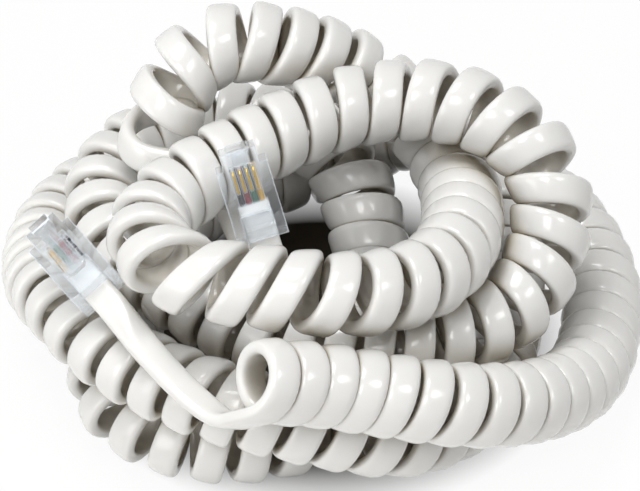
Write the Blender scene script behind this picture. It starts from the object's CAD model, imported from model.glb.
"""Coiled handset cord of a telephone, lying in a loose heap.

One flat ivory cord is wound into a long coil. A straight tail leaves it at each end and goes into
a clear modular plug with a latch, a strain-relief wedge, four cores and four gold contacts.
Lengths are in metres, +Z is up, and the heap lies on z = 0.
"""

import math

import bmesh
import bpy
import numpy as np
from mathutils import Euler, Matrix, Vector


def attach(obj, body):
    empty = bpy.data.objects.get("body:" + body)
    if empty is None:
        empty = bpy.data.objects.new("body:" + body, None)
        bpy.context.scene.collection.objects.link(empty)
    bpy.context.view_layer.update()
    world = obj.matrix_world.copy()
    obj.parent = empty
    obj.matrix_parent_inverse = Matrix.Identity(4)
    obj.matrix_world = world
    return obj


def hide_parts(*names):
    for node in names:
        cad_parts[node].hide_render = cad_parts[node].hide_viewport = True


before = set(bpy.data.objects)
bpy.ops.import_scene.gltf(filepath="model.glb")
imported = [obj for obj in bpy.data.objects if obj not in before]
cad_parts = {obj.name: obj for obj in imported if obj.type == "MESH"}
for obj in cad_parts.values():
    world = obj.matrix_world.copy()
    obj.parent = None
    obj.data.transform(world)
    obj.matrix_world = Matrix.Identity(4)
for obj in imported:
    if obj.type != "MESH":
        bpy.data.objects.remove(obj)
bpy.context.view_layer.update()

MM = 0.001  # metres

# ---- the flat cord and its coil ----

CORD_W = 4.6 * MM  # width of the flat cord
CORD_T = 2.3 * MM  # thickness of the flat cord
COIL_D = 12.8 * MM  # outside of the coil
FLARE = math.radians(8)  # slant of the cord in the coil, which lifts one edge over the next turn
FLARE_ROOM = 0.2 * MM  # room for that lifted edge inside COIL_D
COIL_R = (COIL_D - CORD_T) / 2 - FLARE_ROOM  # middle of the cord in the coil
TURN_GAP = 0.2 * MM  # least gap between one turn and the next
EDGE_POWER = 3.2  # how square the flat cord's edges are; 2 is an ellipse
SECTION_POINTS = 24  # points round the flat cord
TURN_RINGS = 30  # rings in one turn of the coil
TAIL_RINGS = 10  # rings for each bend of a tail
COURSE_STEP = 0.02  # step along ROUTE for the sums
NESTING = 0.55  # share of the coil's radius within which turns keep clear on the inside of a bend
FIRST_PHASE = math.radians(-45)  # where round the coil the first tail takes over
END_PHASE = math.radians(120)  # where round the coil the second tail takes over

# Middle of the coil from the first tail to the second, as points in millimetres
ROUTE = MM * np.array([
    # front run, over the heap and down to the floor on the right
    (-9.5, -47.7, 33.8), (0, -43.5, 29.5), (11, -42.5, 26), (20, -40.5, 22.5),
    (28, -35.5, 18), (35, -27.5, 12.5), (40, -18.5, 8), (43, -7.5, 5.8), (44, 4.5, 5.8),
    (42, 15.5, 5.8),
    # round the back on the floor
    (37, 25.5, 5.8), (29, 35.5, 5.8), (18, 43.5, 5.8), (6, 47.5, 5.8), (-6, 47.5, 5.8),
    (-17, 43.5, 5.8), (-28, 37.5, 5.8), (-36, 30.5, 5.8),
    # left side, climbing over the front floor run
    (-41, 22.5, 6.2), (-43, 13.5, 8), (-43, 4.5, 11), (-42, -4.5, 14.5), (-39, -12.5, 18.5),
    (-34, -21.5, 19), (-26, -29.5, 19), (-16, -35.5, 19), (-6, -37.5, 17.5), (3, -37.5, 15),
    (11, -35.5, 11.5), (18, -29.5, 8),
    # inner right side and up over the back
    (24, -21.5, 5.8), (27, -12.5, 5.8), (28, -2.5, 6), (29, 7.5, 8), (28, 17.5, 12),
    (23, 26.5, 16), (16, 32.5, 16.5), (9, 34, 12.5), (1, 34.5, 7), (-9, 32.5, 5.8),
    (-18, 27.5, 5.8),
    # inner left side on the floor and out under the front
    (-25, 19.5, 5.8), (-28, 10.5, 5.8), (-29, 1.5, 5.8), (-31, -7.5, 5.8), (-33, -16.5, 5.8),
    (-29, -24.5, 5.8), (-21, -29.5, 5.8), (-12, -30.5, 5.8), (-3, -28.5, 5.8), (4, -22.5, 5.8),
    # across the middle and up at the back
    (8, -14.5, 5.8), (9, -5.5, 5.8), (9, 2.5, 6.5), (8, 10.5, 9), (6.5, 17, 13.5),
    (3.5, 22.5, 18), (-3, 27, 20.5), (-12, 29, 20.5), (-21, 28, 20.5),
    # second layer, left side and front
    (-28.5, 23, 20.5), (-33, 15, 20.5), (-33.5, 6.5, 21), (-31, -1.5, 21), (-26, -8.5, 21),
    (-19.5, -14.5, 20.5), (-12, -20.5, 20), (-4, -24.5, 20), (6, -25.5, 20), (15, -24.5, 20),
    (23, -21.5, 20), (29.5, -16.5, 21),
    # up on the right and round the top at the back
    (33.5, -10.5, 24), (35, -5, 28.5), (34.5, -0.5, 33), (31, 3, 37), (25, 6.5, 39.5),
    (18, 9, 40), (11, 9.5, 39.5), (4, 8, 39.5), (-3, 4.5, 39), (-9.5, 0, 38.5),
    (-16, -4.5, 37.5),
    # tight left turn and the top's front
    (-21.5, -9, 36.5), (-24.5, -14.5, 36.5), (-25.5, -21.5, 38), (-22.5, -29, 39.5),
    (-17, -33, 40), (-10, -33.5, 39.5), (-3, -34.5, 39), (4, -33.5, 37.5), (11, -30, 35.5),
    (17, -24, 33.5), (20.5, -16, 32), (21.5, -7, 29.5),
    # behind, and up the arch
    (21.5, 3.5, 26.5), (20, 11.5, 25.5), (16.5, 17.5, 28), (11.5, 21.5, 30.5), (6.5, 23, 34),
    (2, 21.5, 38), (-4, 20.5, 41), (-9.5, 19.5, 43), (-15.5, 18.8, 43.3), (-20.3, 16.2, 41.5),
    (-22.2, 12.8, 38.8), (-24.2, 10.5, 34.8), (-24.6, 10, 30.3),
])
# Bends of the tails between the plug's rear and the coil's end
TAIL_A = MM * np.array([(-26, -33, 28), (-20, -41.5, 27)])
TAIL_B = MM * np.array([
    (-6.5, -20.5, 29), (-7, -18, 26.8), (-9.5, -13, 26.8), (-12.5, -7, 27.8), (-14.5, 0, 28.5),
])
# Where the coil is pulled apart or pushed together: places in ROUTE and the change of the gap
# there, in millimetres
PULLED = np.array([
    (18, 0), (19, 0.6), (23, 0.6), (24, 0.3), (29, 0), (31, -0.05), (58, -0.05), (60, 0),
    (61, 0.2), (71, 0.2), (75, 0), (77, 0.4), (80, 0.4), (82, 0.1), (85, 0), (87, 0.6),
    (90, 0.6), (92, 0.2), (94, 0.3), (97, 0.3), (99, 0.1), (103, -0.4), (107, -0.4),
])
# Where the turns lean: places in ROUTE, and how far along it the coil's side and its top have
# moved, as shares of the coil's radius
LEANING = np.array([
    (0, 0.16, 0.11), (0.6, 0.16, 0.11), (2, 0, 0),
    (84.5, 0, 0), (86.5, -0.22, 0.26), (88, -0.18, 0.22), (89.5, -0.06, 0.08), (90.5, 0, 0),
    (103.8, 0, 0), (105, -0.09, -0.1), (106, 0.1, 0.16),
])

# ---- the plugs ----

PLUG_H = 6.6 * MM
JACKET_IN = 5.2 * MM  # how far the cord's jacket goes into the plug
CORD_LEVEL = PLUG_H / 2  # height of the cord's middle in the plug
MOUTH_L = 1 * MM  # how far the tail runs straight behind the plug
LEAD_L = 4 * MM  # distance to the points that keep the tail's ends straight

# Place and turn of each plug: the point is the middle of its rear edge on the latch side
PLUG_PLACES = {
    "a": ((-33.4, -25.1, 32.7), (169, 30, -149)),
    "b": ((-8.5, -15.5, 34.4), (59, -13, 11)),
}


def plug_matrix(plug):
    """Where a plug lies: x is across it, y toward its nose, z from the latch to the contacts."""
    place, turn = PLUG_PLACES[plug]
    turned = Euler([math.radians(a) for a in turn], "XYZ").to_matrix().to_4x4()
    return Matrix.Translation(Vector(place) * MM) @ turned


# ---- camera ----

CAMERA_RISE = 40  # degrees above the table
CAMERA_AWAY = 650 * MM  # from the point it looks at
CAMERA_AIM = Vector((0, -2.06, 20.52)) * MM  # that point
SENSOR_W = 36.0  # millimetres
LENS = 241.0  # millimetres


def make_camera():
    """Camera in front of the heap, looking down on it."""
    rise = math.radians(CAMERA_RISE)
    data = bpy.data.cameras.new("camera")
    data.sensor_width = SENSOR_W
    data.lens = LENS
    data.clip_start = 0.01
    camera = bpy.data.objects.new("camera", data)
    camera.location = CAMERA_AIM + CAMERA_AWAY * Vector((0, -math.cos(rise), math.sin(rise)))
    camera.rotation_euler = (math.pi / 2 - rise, 0, 0)
    bpy.context.collection.objects.link(camera)
    bpy.context.scene.camera = camera


# ---- the coil's course ----


def unit(v):
    """Each row of v at length 1."""
    return v / np.linalg.norm(v, axis=-1, keepdims=True)


def spline(points, u, order=0):
    """Uniform cubic B-spline along points at the places u, or its first or second derivative."""
    ends = np.vstack([2 * points[0] - points[1], points, 2 * points[-1] - points[-2]])
    i = np.clip(u.astype(int), 0, len(points) - 2)
    t = (u - i)[:, None]
    if order == 0:
        weights = ((1 - t) ** 3 / 6, (3 * t**3 - 6 * t**2 + 4) / 6,
                   (-3 * t**3 + 3 * t**2 + 3 * t + 1) / 6, t**3 / 6)
    elif order == 1:
        weights = (-((1 - t) ** 2) / 2, (3 * t**2 - 4 * t) / 2, (-3 * t**2 + 2 * t + 1) / 2,
                   t**2 / 2)
    else:
        weights = (1 - t, 3 * t - 2, 1 - 3 * t, t)
    return sum(w * ends[i + k] for k, w in enumerate(weights))


def leaning(u):
    """How far the coil's side and its top lean along the route at the places u."""
    return [np.interp(u, LEANING[:, 0], LEANING[:, k]) for k in (1, 2)]


def coil_phases():
    """Places along ROUTE in small steps, and the coil's phase in radians at each."""
    u = np.arange(0, len(ROUTE) - 1 + COURSE_STEP / 2, COURSE_STEP)
    slope, bend = spline(ROUTE, u, 1), spline(ROUTE, u, 2)
    speed = np.linalg.norm(slope, axis=1)
    curvature = np.linalg.norm(np.cross(slope, bend), axis=1) / speed**3
    gap = TURN_GAP + MM * np.interp(u, PULLED[:, 0], PULLED[:, 1])
    lean = np.linalg.norm([np.ones(len(u)), *leaning(u)], axis=0)
    pitch = (CORD_W + gap) * lean / (1 - NESTING * COIL_D / 2 * curvature)
    rate = 2 * math.pi * speed / pitch * COURSE_STEP
    return u, FIRST_PHASE + np.concatenate([[0], np.cumsum((rate[1:] + rate[:-1]) / 2)])


def coil_frames(u, phase):
    """Middle of the cord at u, and the directions along, outward and round at that phase."""
    along = unit(spline(ROUTE, u, 1))
    side = unit(np.cross(along, (0, 0, 1)))
    upward = np.cross(side, along)
    cos, sin = np.cos(phase)[:, None], np.sin(phase)[:, None]
    outward = cos * side + sin * upward
    to_side, to_top = leaning(u)
    lean = to_side[:, None] * cos + to_top[:, None] * sin
    centre = spline(ROUTE, u) + COIL_R * (outward + lean * along)
    return centre, along, outward, cos * upward - sin * side


def coil_rings():
    """Centre, width direction and outward direction of every ring of the whole coil."""
    places, phases = coil_phases()
    last = math.floor((phases[-1] - END_PHASE) / (2 * math.pi)) * 2 * math.pi + END_PHASE
    count = round((last - phases[0]) / (2 * math.pi) * TURN_RINGS)
    phase = np.linspace(phases[0], last, count + 1)
    u = np.interp(phase, phases, places)
    centre, along, outward, around = coil_frames(u, phase)
    heading = unit(np.gradient(centre, axis=0))
    heading[0], heading[-1] = around[0], around[-1]
    wide = unit(np.cross(heading, outward))
    wide *= np.sign(np.sum(wide * along, axis=1, keepdims=True))
    return (centre, math.cos(FLARE) * wide + math.sin(FLARE) * outward,
            math.cos(FLARE) * outward - math.sin(FLARE) * wide)


def tail_rings(plug, bends, goal, lead, goal_wide):
    """Rings of a tail from inside its plug, by its bends and the lead, to the coil's end."""
    place = plug_matrix(plug)

    def spot(y):
        return np.array(place @ Vector((0, y, CORD_LEVEL)))

    wide = -np.array(place.col[0].xyz)
    points = np.vstack([spot(-MOUTH_L), spot(-MOUTH_L - LEAD_L), bends, lead, goal])
    last = (len(points) - 1) * TAIL_RINGS
    u = np.arange(last + 1) / TAIL_RINGS
    heading = unit(spline(points, u, 1))
    share = np.linspace(0, 1, last + 1)[:, None]
    mix = (1 - share) * wide + share * goal_wide
    mix = unit(mix - np.sum(mix * heading, axis=1, keepdims=True) * heading)
    centre = np.vstack([spot(JACKET_IN), spot(JACKET_IN / 2), spline(points, u)])
    mix = np.vstack([wide, wide, mix])
    heading = np.vstack([heading[0], heading[0], heading])
    return centre, mix, np.cross(mix, heading)


def flat_section():
    """Outline of the flat cord with rounded edges, as shares of its width and its thickness."""
    angle = np.linspace(0, 2 * math.pi, SECTION_POINTS, endpoint=False)
    power = 2 / EDGE_POWER
    across = np.sign(np.cos(angle)) * np.abs(np.cos(angle)) ** power
    through = np.sign(np.sin(angle)) * np.abs(np.sin(angle)) ** power
    return across / 2, through / 2


def swept_mesh(name, centre, wide, thick):
    """Closed mesh of the flat cord through its rings, mapped by run and girth in metres."""
    across, through = flat_section()
    rings = (centre[:, None] + CORD_W * across[:, None] * wide[:, None]
             + CORD_T * through[:, None] * thick[:, None])
    rings[..., 2] = np.maximum(rings[..., 2], 0)  # the lowest turns lie flat on the floor
    count, sides = rings.shape[:2]
    near = np.arange(count - 1)[:, None] * sides
    j = np.arange(sides)
    k = (j + 1) % sides
    faces = np.stack([near + j, near + k, near + sides + k, near + sides + j], axis=-1)
    faces = faces.reshape(-1, 4).tolist()
    faces += [list(reversed(range(sides))), list(range((count - 1) * sides, count * sides))]
    mesh = bpy.data.meshes.new(name)
    mesh.from_pydata(rings.reshape(-1, 3).tolist(), [], faces)
    run = np.concatenate([[0], np.cumsum(np.linalg.norm(np.diff(centre, axis=0), axis=1))])
    girth = np.linspace(0, 2 * (CORD_W + CORD_T), sides, endpoint=False)
    corners = np.empty(len(mesh.loops), dtype=np.int32)
    mesh.loops.foreach_get("vertex_index", corners)
    places = np.stack([run[corners // sides], girth[corners % sides]], axis=1)
    mesh.uv_layers.new(name="run").data.foreach_set("uv", places.ravel())
    mesh.polygons.foreach_set("use_smooth", [True] * len(mesh.polygons))
    bm = bmesh.new()
    bm.from_mesh(mesh)
    bmesh.ops.recalc_face_normals(bm, faces=bm.faces)
    bm.to_mesh(mesh)
    bm.free()
    return mesh


def make_cord():
    """The whole flat cord as one swept mesh, from inside one plug to inside the other."""
    centre, wide, thick = coil_rings()
    ends = []
    for plug, bends, end, way in (("a", TAIL_A, 0, -1), ("b", TAIL_B, -1, 1)):
        around = np.cross(thick[end], wide[end])
        if np.dot(around, centre[1] - centre[0] if end == 0 else centre[-1] - centre[-2]) < 0:
            around = -around
        goal = centre[end] + way * CORD_W * around
        tail = tail_rings(plug, bends, goal, goal + way * LEAD_L * around, wide[end])
        flip = np.sign(np.dot(tail[2][-1], thick[end]))
        ends.append((tail[0], tail[1], flip * tail[2]))
    first, second = ends
    centre = np.vstack([first[0], centre, second[0][::-1]])
    wide = np.vstack([first[1], wide, second[1][::-1]])
    thick = np.vstack([first[2], thick, second[2][::-1]])
    cord = bpy.data.objects.new("handset_cord", swept_mesh("handset_cord", centre, wide, thick))
    bpy.context.collection.objects.link(cord)
    return cord, centre


# ---- materials ----


def srgb(code):
    """Linear colour with alpha 1 from an sRGB hex code."""
    parts = [int(code[i:i + 2], 16) / 255 for i in (1, 3, 5)]
    return [p / 12.92 if p <= 0.04045 else ((p + 0.055) / 1.055) ** 2.4 for p in parts] + [1]


def add(tree, kind, inputs=(), **settings):
    """Add a node with its settings; an input's value is a number, a colour or a socket to link."""
    node = tree.nodes.new(kind)
    for name, value in settings.items():
        setattr(node, name, value)
    for name, value in dict(inputs).items():
        if isinstance(value, bpy.types.NodeSocket):
            tree.links.new(value, node.inputs[name])
        else:
            node.inputs[name].default_value = value
    return node


def new_material(name):
    """Empty node material and its output node."""
    material = bpy.data.materials.new(name)
    material.use_nodes = True
    material.node_tree.nodes.clear()
    return material, add(material.node_tree, "ShaderNodeOutputMaterial")


def noise(tree, mm, detail=2):
    """Value of a noise that is fixed to the piece, with features of this many millimetres."""
    place = add(tree, "ShaderNodeTexCoord")
    return add(tree, "ShaderNodeTexNoise",
               {"Vector": place.outputs["Object"], "Scale": 1 / (mm * MM), "Detail": detail}
               ).outputs["Fac"]


def ranged(tree, value, low, high, start=0.0, end=1.0):
    """Value taken from the range start to end to the range low to high."""
    return add(tree, "ShaderNodeMapRange",
               {"Value": value, "From Min": start, "From Max": end, "To Min": low, "To Max": high}
               ).outputs["Result"]


def mixed(tree, share, first, second):
    """Colour between the first and the second, by the share of the second."""
    return add(tree, "ShaderNodeMix", {"Factor": share, 6: first, 7: second},
               data_type="RGBA").outputs[2]


def shiny(tree, out, inputs):
    """Principled shader with these inputs, as the material's surface."""
    shader = add(tree, "ShaderNodeBsdfPrincipled", inputs)
    tree.links.new(shader.outputs["BSDF"], out.inputs["Surface"])


def extruded_pvc():
    """Ivory extruded PVC jacket: glossy with a slight orange peel, and browner in its folds."""
    material, out = new_material("extruded_pvc_ivory")
    tree = material.node_tree
    colour = mixed(tree, noise(tree, 9), srgb("#e8e7e5"), srgb("#e3e2df"))
    folds = add(tree, "ShaderNodeAmbientOcclusion", {"Distance": 10 * MM}, samples=6,
                only_local=True)
    clean = ranged(tree, folds.outputs["AO"], 0, 1, 0.08, 0.6)
    peel = noise(tree, 0.5, 3)
    relief = add(tree, "ShaderNodeBump", {"Height": peel, "Strength": 0.08, "Distance": 0.05 * MM})
    shiny(tree, out, {
        "Base Color": mixed(tree, clean, srgb("#9f937c"), colour),
        "Roughness": ranged(tree, peel, 0.14, 0.22), "Normal": relief.outputs["Normal"],
        "IOR": 1.53, "Subsurface Weight": 0.12, "Subsurface Radius": (1, 0.8, 0.6),
        "Subsurface Scale": 0.8 * MM})
    return material


def clear_polycarbonate():
    """Clear moulded polycarbonate of the plugs, faintly blue and milky, whiter along its edges."""
    material, out = new_material("clear_polycarbonate")
    tree = material.node_tree
    ripple = noise(tree, 1.2)
    relief = add(tree, "ShaderNodeBump",
                 {"Height": ripple, "Strength": 0.15, "Distance": 0.05 * MM})
    # 1 on a flat face, and less along an edge, where the rounded normal leaves the true one
    rounded = add(tree, "ShaderNodeBevel", {"Radius": 0.3 * MM}, samples=6)
    geometry = add(tree, "ShaderNodeNewGeometry")
    same = add(tree, "ShaderNodeVectorMath",
               {0: rounded.outputs["Normal"], 1: geometry.outputs["Normal"]},
               operation="DOT_PRODUCT").outputs["Value"]
    edge, face = 0.85, 0.99
    shiny(tree, out, {
        "Base Color": srgb("#eef5fc"), "Roughness": ranged(tree, ripple, 0.02, 0.08),
        "Normal": relief.outputs["Normal"], "IOR": 1.58,
        "Transmission Weight": ranged(tree, same, 0.3, 0.92, edge, face),
        "Alpha": ranged(tree, same, 1, 0.5, edge, face)})
    return material


def core_insulation(name, code):
    """Coloured PVC insulation of one core: satin, with a slightly uneven tone."""
    material, out = new_material(f"core_insulation_{name}")
    tree = material.node_tree
    value = ranged(tree, noise(tree, 0.8), 0.85, 1.15)
    colour = add(tree, "ShaderNodeHueSaturation", {"Color": srgb(code), "Value": value})
    shiny(tree, out, {"Base Color": colour.outputs["Color"], "Roughness": 0.4})
    return material


def gold_plating():
    """Gold plating on a stamped contact: bright yellow metal with fine stamping marks."""
    material, out = new_material("gold_plating")
    tree = material.node_tree
    shiny(tree, out, {"Base Color": srgb("#b8a066"), "Metallic": 1,
                      "Roughness": ranged(tree, noise(tree, 0.15), 0.2, 0.4)})
    return material


# ---- pieces made from the frame's solids ----

SAME_SPOT = 0.001 * MM  # corners nearer to each other than this are one
FLAT_ANGLE = math.radians(1)  # faces that meet at less than this are one flat face
SHARP_ANGLE = math.radians(30)  # edges sharper than this are rounded
EDGE_SEGMENTS = 2  # steps round an edge


def rounded_piece(node, radius):
    """Piece of the node's own shape, with its coplanar faces joined and its edges rounded."""
    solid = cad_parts[node]
    mesh = bpy.data.meshes.new(f"{node}_rounded")
    bm = bmesh.new()
    bm.from_mesh(solid.data)
    bmesh.ops.remove_doubles(bm, verts=bm.verts, dist=SAME_SPOT)
    bmesh.ops.dissolve_limit(bm, angle_limit=FLAT_ANGLE, verts=bm.verts, edges=bm.edges)
    edges = [e for e in bm.edges if e.is_manifold and e.calc_face_angle() > SHARP_ANGLE]
    bmesh.ops.bevel(bm, geom=edges, offset=radius, segments=EDGE_SEGMENTS, profile=0.5,
                    affect="EDGES", clamp_overlap=True)
    bm.to_mesh(mesh)
    bm.free()
    piece = bpy.data.objects.new(f"{node}_rounded", mesh)
    bpy.context.collection.objects.link(piece)
    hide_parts(node)
    return piece


# ---- light and floor ----

LAMP_WHITE = (1, 1, 0.995)  # linear colour, a trace warmer than white
FLOOR_SIZE = 6  # metres
FLOOR_SUNK = 0.02 * MM  # how far the floor lies below the lowest turns
FLOOR_DARK = 28 * MM  # the floor is dark nearer to the heap's middle than this
FLOOR_PALE = 44 * MM  # and has its own pale colour beyond this
FLOOR_WHITE = 40 * MM  # beyond this the eye sees it as white
WHITE_SHARE = 0.94  # share of plain white in what the eye sees there
ROOM_SHARE = 0.13  # share of the surrounding's brightness that lights the heap


def area_lamp(name, place, aim, size, power):
    """Square softbox at place, turned to aim, with its power in watts."""
    data = bpy.data.lights.new(name, "AREA")
    data.shape = "SQUARE"
    data.size = size
    data.energy = power
    data.color = LAMP_WHITE
    lamp = bpy.data.objects.new(name, data)
    lamp.location = place
    lamp.rotation_euler = (Vector(aim) - Vector(place)).to_track_quat("-Z", "Y").to_euler()
    bpy.context.collection.objects.link(lamp)


def seen_rays(tree):
    """Socket that is 1 for the rays by which the eye sees, also in metal and through glass."""
    ray = add(tree, "ShaderNodeLightPath")
    seen = add(tree, "ShaderNodeMath",
               {0: ray.outputs["Is Camera Ray"], 1: ray.outputs["Is Glossy Ray"]},
               operation="MAXIMUM")
    return add(tree, "ShaderNodeMath", {0: seen.outputs[0], 1: ray.outputs["Is Transmission Ray"]},
               operation="MAXIMUM").outputs[0]


def make_light():
    """Softboxes overhead, in front at the left and right and low on the left, in a pale room."""
    aim = (0, 0, 0.02)
    area_lamp("overhead_softbox", (-0.14, 0.04, 0.7), aim, 0.3, 2.6)
    area_lamp("left_softbox", (-0.14, -0.46, 0.6), aim, 0.26, 1.65)
    area_lamp("right_softbox", (0.34, -0.3, 0.6), aim, 0.2, 1)
    area_lamp("low_left_softbox", (-0.56, -0.4, 0.2), aim, 0.4, 1.6)
    world = bpy.data.worlds.new("pale_surrounding")
    world.use_nodes = True
    tree = world.node_tree
    tree.nodes.clear()
    light = add(tree, "ShaderNodeBackground",
                {"Color": (1, 1, 1, 1), "Strength": ranged(tree, seen_rays(tree), ROOM_SHARE, 1)})
    out = add(tree, "ShaderNodeOutputWorld")
    tree.links.new(light.outputs["Background"], out.inputs["Surface"])
    bpy.context.scene.world = world


def make_floor():
    """Wide pale floor, white to the eye round the heap and in shadow under it."""
    half = FLOOR_SIZE / 2
    mesh = bpy.data.meshes.new("pale_floor")
    corners = [(-half, -half), (half, -half), (half, half), (-half, half)]
    mesh.from_pydata([(x, y, -FLOOR_SUNK) for x, y in corners], [], [(0, 1, 2, 3)])
    floor = bpy.data.objects.new("pale_floor", mesh)
    bpy.context.collection.objects.link(floor)
    material, out = new_material("pale_floor")
    tree = material.node_tree
    white = add(tree, "ShaderNodeEmission", {"Color": (1, 1, 1, 1), "Strength": 1})
    place = add(tree, "ShaderNodeTexCoord")
    away = add(tree, "ShaderNodeVectorMath", {0: place.outputs["Object"]},
               operation="LENGTH").outputs["Value"]
    open_floor = ranged(tree, away, 0, 1, FLOOR_DARK, FLOOR_PALE)
    shade = mixed(tree, open_floor, srgb("#4a443b"), srgb("#f4f3f1"))
    matt = add(tree, "ShaderNodeBsdfDiffuse", {"Color": shade})
    lit = ranged(tree, away, 0, WHITE_SHARE, FLOOR_DARK, FLOOR_WHITE)
    share = add(tree, "ShaderNodeMath", {0: lit, 1: seen_rays(tree)}, operation="MULTIPLY")
    mix = add(tree, "ShaderNodeMixShader", {0: share.outputs["Value"]})
    tree.links.new(matt.outputs["BSDF"], mix.inputs[1])
    tree.links.new(white.outputs["Emission"], mix.inputs[2])
    tree.links.new(mix.outputs["Shader"], out.inputs["Surface"])
    mesh.materials.append(material)


# ---- the whole scene ----

CORE_COLOURS = {"black": "#101014", "red": "#7d1420", "green": "#1c5a40", "yellow": "#c2952c"}
CONTACTS = 4  # in each plug
CORD_NODES = ["curls_front", "run_back", "curls_left", "run_inner", "run_floor", "run_cross",
              "curls_second", "curls_top", "tail_a", "tail_b"]

make_camera()
cord, course = make_cord()
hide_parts(*CORD_NODES)
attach(cord, "root")
cord.data.materials.append(extruded_pvc())

clear = clear_polycarbonate()
gold = gold_plating()
cores = {name: core_insulation(name, code) for name, code in CORE_COLOURS.items()}
for plug in "ab":
    for part, body, radius in (("housing", "root", 0.12), ("wedge", "root", 0.08),
                               ("latch", f"latch_{plug}", 0.12)):
        piece = rounded_piece(f"plug_{plug}_{part}", radius * MM)
        piece.data.materials.append(clear)
        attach(piece, body)
    for name, material in cores.items():
        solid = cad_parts[f"plug_{plug}_core_{name}"]
        solid.data.materials.clear()
        solid.data.materials.append(material)
    for i in range(CONTACTS):
        piece = rounded_piece(f"plug_{plug}_contact_{i + 1}", 0.05 * MM)
        piece.data.materials.append(gold)
        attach(piece, "root")

make_light()
make_floor()
bpy.context.scene.view_settings.view_transform = "Standard"
